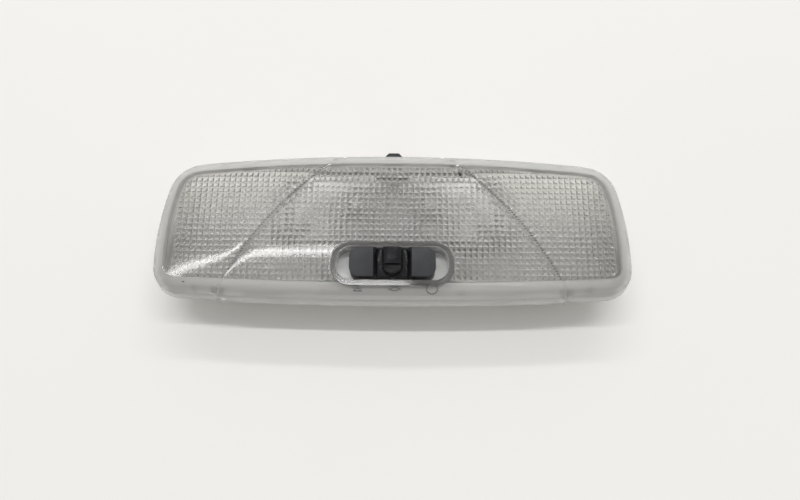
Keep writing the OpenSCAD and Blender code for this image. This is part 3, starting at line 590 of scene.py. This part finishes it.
# %% Press the sheet against the panel and give it a thickness
apply_modifier(
    prisms, "SHRINKWRAP", target=shell, wrap_method="PROJECT", wrap_mode="ON_SURFACE",
    use_project_x=False, use_project_y=False, use_project_z=True,
    use_positive_direction=True, use_negative_direction=False,
)
MISSED = 28.0 * MM
only(prisms)
bpy.ops.object.mode_set(mode="EDIT")
bpy.ops.mesh.select_mode(type="VERT")
bpy.ops.mesh.select_all(action="DESELECT")
bpy.ops.object.mode_set(mode="OBJECT")
for vertex in prisms.data.vertices:
    vertex.select = vertex.co.z < MISSED
bpy.ops.object.mode_set(mode="EDIT")
bpy.ops.transform.translate(value=(0, 0, 5.0 * MM))
bpy.ops.mesh.select_all(action="SELECT")
bpy.ops.transform.translate(value=(0, 0, -0.03 * MM))
SHEET = 0.5 * MM
bpy.ops.mesh.extrude_region_move(TRANSFORM_OT_translate={"value": (0, 0, -SHEET)})
bpy.ops.mesh.select_all(action="SELECT")
bpy.ops.mesh.normals_make_consistent(inside=False)
bpy.ops.object.mode_set(mode="OBJECT")

# %% Cut the window of the switch out of the sheet
CUT_WIDE, CUT_HIGH, CUT_ROUND = 50.1 * MM, 18.9 * MM, 8.4 * MM
bpy.ops.mesh.primitive_cube_add(size=1, location=(0, WINDOW_Y, 30 * MM))
cutter = bpy.context.object
cutter.scale = (CUT_WIDE, CUT_HIGH, 20 * MM)
bpy.ops.object.transform_apply(location=True, rotation=True, scale=True)
bpy.ops.object.mode_set(mode="EDIT")
bpy.ops.mesh.select_mode(type="EDGE")
bpy.ops.mesh.select_all(action="DESELECT")
bpy.ops.object.mode_set(mode="OBJECT")
for edge in cutter.data.edges:
    a, b = (cutter.data.vertices[i].co for i in edge.vertices)
    edge.select = abs(a.z - b.z) > 10 * MM
bpy.ops.object.mode_set(mode="EDIT")
bpy.ops.mesh.bevel(offset=CUT_ROUND, segments=8, affect="EDGES")
bpy.ops.object.mode_set(mode="OBJECT")
apply_modifier(prisms, "BOOLEAN", operation="DIFFERENCE", solver="EXACT", object=cutter)
bpy.data.objects.remove(cutter)
print("faces with the window cut:", len(prisms.data.polygons))

# %% [markdown]
# Each crease stays free of prisms. A ring that is thin from side to side and
# tall from top to bottom cuts that lane, because the crease is a plain arc.

# %% Cut the lanes of the creases
LANE = 0.85 * MM
for side in (1, -1):
    centre = (side * CREASE_CENTRE.x, CREASE_CENTRE.y, 30 * MM)
    bpy.ops.mesh.primitive_torus_add(
        location=centre, major_radius=CREASE_RADIUS, minor_radius=LANE,
        major_segments=300, minor_segments=8,
    )
    cutter = bpy.context.object
    cutter.scale = (1, 1, 5)
    bpy.ops.object.transform_apply(location=True, rotation=True, scale=True)
    apply_modifier(prisms, "BOOLEAN", operation="DIFFERENCE", solver="EXACT", object=cutter)
    bpy.data.objects.remove(cutter)
print("faces with the lanes cut:", len(prisms.data.polygons))

# %% Push each cell down to a pillow
def looks_down(face):
    return face.normal.z < -0.5


PILLOW_IN, PILLOW_DOWN, PILLOW_TIP = 0.78 * MM, 0.66 * MM, 0.1 * MM
only(prisms)
cells = pick_faces(prisms, looks_down)
bpy.ops.transform.edge_crease(value=1)
bpy.ops.mesh.inset(thickness=PILLOW_IN, depth=PILLOW_DOWN, use_individual=True)
bpy.ops.transform.edge_crease(value=-1)
bpy.ops.mesh.poke(offset=PILLOW_TIP)
bpy.ops.object.mode_set(mode="OBJECT")
apply_modifier(prisms, "SUBSURF", levels=1, render_levels=1)
smooth(prisms, 30)
prisms.data.materials.clear()
prisms.data.materials.append(optic)
prisms.data.materials.append(joined)
for face in prisms.data.polygons:
    face.material_index = int(face.normal.z > 0.9)
print("prisms:", cells, "faces:", len(prisms.data.polygons))

# %% [markdown]
# ## Creases
# Small oblique beads lie in each lane, like the strands of a cord, and give the crease its fine
# dashes. Their colour is mottled from near black to pale grey: painted shade of the crease.

# %% Beads in the lanes
BEAD_STEP = 1.25 * MM
BEAD = (1.6 * MM, 0.55 * MM, 0.5 * MM)
CREASE_START, CREASE_END = math.radians(14.5), math.radians(53.5)
bead_parts = []
for side in (1, -1):
    angle = CREASE_START
    while angle < CREASE_END:
        x = CREASE_CENTRE.x + CREASE_RADIUS * math.cos(angle)
        y = CREASE_CENTRE.y + CREASE_RADIUS * math.sin(angle)
        hit, at, _, _ = shell.ray_cast(Vector((side * x, y, 20 * MM)), Vector((0, 0, 1)))
        if hit and at.z > 28 * MM:
            bpy.ops.mesh.primitive_ico_sphere_add(
                subdivisions=2, radius=0.5, location=at - Vector((0, 0, 0.34 * MM)),
                rotation=(0, 0, side * (angle + math.radians(90 + 32))),
                scale=BEAD,
            )
            bead_parts.append(bpy.context.object)
        angle += BEAD_STEP / CREASE_RADIUS
bpy.ops.object.select_all(action="DESELECT")
for bead in bead_parts:
    bead.select_set(True)
bpy.ops.object.join()
beads = bpy.context.object
beads.name = "crease_beads"
bpy.ops.object.transform_apply(location=True, rotation=True, scale=True)
smooth(beads, 60)
beads.data.materials.append(painted_crease_shade)
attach(beads, "lamp")
print("beads:", len(bead_parts))

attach(shell, "lamp")
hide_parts("lens")
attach(prisms, "lamp")

# %% [markdown]
# ## Rounded pieces
# Moulded and stamped pieces have no knife edges. These copies get a small
# round on every edge that turns by more than 32 degrees.

# %% Rounded copies
# The knob and the trough round it, within this half width, take the painted shade.
PAINTED_SHADE_HALF = 7.7 * MM
slider = rounded_copy("switch_slider", 0.45 * MM, "switch", black, 3)
slider.data.materials.append(thumb_gloss_and_painted_shade)
for face in slider.data.polygons:
    face.material_index = int(abs(face.center.x) < PAINTED_SHADE_HALF)
clip = rounded_copy("retaining_clip", 0.14 * MM, "spring_catch", black_steel)
base = rounded_copy("switch_base", 0.25 * MM, "lamp", plate)
body = rounded_copy("housing", 0.25 * MM, "lamp", white)
print("housing faces:", len(body.data.polygons))

# %% [markdown]
# The skin of the tray's inside becomes a piece of its own, because the fill
# lights it and leaves the outside of the same moulding alone.


# %% Skin of the tray's inside
TRAY_X, TRAY_Y, TRAY_Z = 93 * MM, 27.4 * MM, 1.9 * MM


def inside_tray(face):
    x, y, z = face.center
    facing_in = face.normal.x * x + face.normal.y * y < -0.3 * math.hypot(x, y)
    within = abs(y) < TRAY_Y and abs(x) < TRAY_X and z > TRAY_Z
    return within and (face.normal.z > 0.5 or facing_in)


only(body)
print("faces of the inside:", pick_faces(body, inside_tray))
bpy.ops.mesh.separate(type="SELECTED")
bpy.ops.object.mode_set(mode="OBJECT")
lining = next(obj for obj in bpy.context.selected_objects if obj != body)
lining.name = "tray_inside"
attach(lining, "lamp")
for piece in [lining] + [nodes[name] for name in (
    "reflector", "bulb_cap_left", "bulb_cap_right", "bulb_clip_left", "bulb_clip_right",
    "feed_track", "lamp_track", "door_track", "earth_track", "base_screws",
)]:
    inside.objects.link(piece)

# %% [markdown]
# ## Symbols
# Three signs are moulded on the bevel under the switch: a light, a car with its doors open and a
# ring. They are fine round lines, half sunk in the surface. Each corner of a line is dropped onto
# the bevel from above. Their dark grey colour is painted shade of the lines' edges.

# %% Lines on the bevel
BEVEL_TILT = math.radians(36)
SIGN_X, SIGN_Y = 1.0, -28.0 * MM
LINE = 0.16 * MM
BOW_RADIUS = 1700


def on_bevel(x, u, v):
    bow = (x + u) ** 2 / (2 * BOW_RADIUS)
    above = Vector(((x + u) * MM, SIGN_Y + (bow + v * math.cos(BEVEL_TILT)) * MM, 60 * MM))
    _, at, up, _ = shell.ray_cast(above, Vector((0, 0, -1)))
    return at + up * 0.6 * LINE


def line(p, q):
    way = q - p
    bpy.ops.mesh.primitive_cylinder_add(
        vertices=10, radius=LINE, depth=way.length, location=(p + q) / 2,
        rotation=way.to_track_quat("Z", "Y").to_euler(),
    )
    return bpy.context.object


def path(x, points):
    at = [on_bevel(x + SIGN_X, u, v) for u, v in points]
    return [line(p, q) for p, q in zip(at, at[1:])]


def arc(radius, start, end, steps, centre=(0, 0)):
    turns = [math.radians(start + (end - start) * k / steps) for k in range(steps + 1)]
    x, y = centre
    return [(x + radius * math.cos(t), y + radius * math.sin(t)) for t in turns]


# %% Three signs
STEP = 14.85
parts = path(STEP, arc(2.2, 0, 360, 28))
parts += path(-STEP, arc(1.15, 0, 180, 10, (0, -1.0)))
parts += path(-STEP, [(-1.8, -1.05), (1.8, -1.05)])
for degrees in (35, 90, 145):
    a = math.radians(degrees)
    parts += path(-STEP, [(r * math.cos(a), r * math.sin(a) - 1.0) for r in (1.75, 2.35)])
parts += path(0, [
    (-1.3, -0.7), (-1.5, 0.1), (-0.9, 0.8), (0.9, 0.8), (1.5, 0.1), (1.3, -0.7), (-1.3, -0.7),
])
parts += path(0, [(-1.5, 0.1), (-2.6, -0.5)])
parts += path(0, [(1.5, 0.1), (2.6, -0.5)])
bpy.ops.object.select_all(action="DESELECT")
for part in parts:
    part.select_set(True)
bpy.ops.object.join()
signs = bpy.context.object
signs.name = "bevel_signs"
bpy.ops.object.transform_apply(location=True, rotation=True, scale=True)
smooth(signs, 50)
signs.data.materials.append(sign_painted_shade)
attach(signs, "lamp")
print("lines in the signs:", len(parts))

# %% [markdown]
# ## Marks of use
# A used lamp: one dark speck near the top edge, a small one on the left part
# of the bevel and a few grains of dust.


# %% Specks
def speck(x, y, length, width, turn):
    hit, at, up, _ = shell.ray_cast(Vector((x * MM, y * MM, 60 * MM)), Vector((0, 0, -1)))
    bpy.ops.mesh.primitive_ico_sphere_add(
        subdivisions=3, radius=0.5, location=at + up * 0.03 * MM,
        scale=(length * MM, width * MM, 0.16 * MM),
        rotation=up.to_track_quat("Z", "Y").to_euler(),
    )
    bit = bpy.context.object
    bit.rotation_euler.rotate_axis("Z", math.radians(turn))
    bpy.ops.object.transform_apply(location=True, rotation=True, scale=True)
    bpy.ops.object.mode_set(mode="EDIT")
    bpy.ops.mesh.select_all(action="SELECT")
    bpy.ops.transform.vertex_random(offset=0.06 * length * MM, seed=int(abs(x) * 10))
    bpy.ops.object.mode_set(mode="OBJECT")
    return bit


SPECKS = [
    (27.8, 20.9, 2.0, 1.2, -60), (28.5, 19.6, 0.8, 0.7, 20), (-83.4, -25.6, 1.0, 0.4, 10),
    (36.2, 11.5, 0.3, 0.2, 40), (-34.0, 3.0, 0.25, 0.2, 70), (11.0, -5.0, 0.2, 0.2, 0),
]
bits = [speck(*one) for one in SPECKS]
bpy.ops.object.select_all(action="DESELECT")
for bit in bits:
    bit.select_set(True)
bpy.ops.object.join()
specks = bpy.context.object
specks.name = "specks"
smooth(specks, 60)
specks.data.materials.append(soil)
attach(specks, "lamp")
print("specks:", len(bits))

# %% [markdown]
# ## Table
# A pale sheet of board carries the lamp and catches its shadow.

# %% Table
bpy.ops.mesh.primitive_plane_add(size=6, location=(0, 0, 0))
table = bpy.context.object
table.name = "table"
board = finish_named("pale_board", (0.92, 0.905, 0.88), 0.6)
mottle(board, 3, (0.915, 0.9, 0.875), (0.93, 0.915, 0.892))
table.data.materials.append(board)
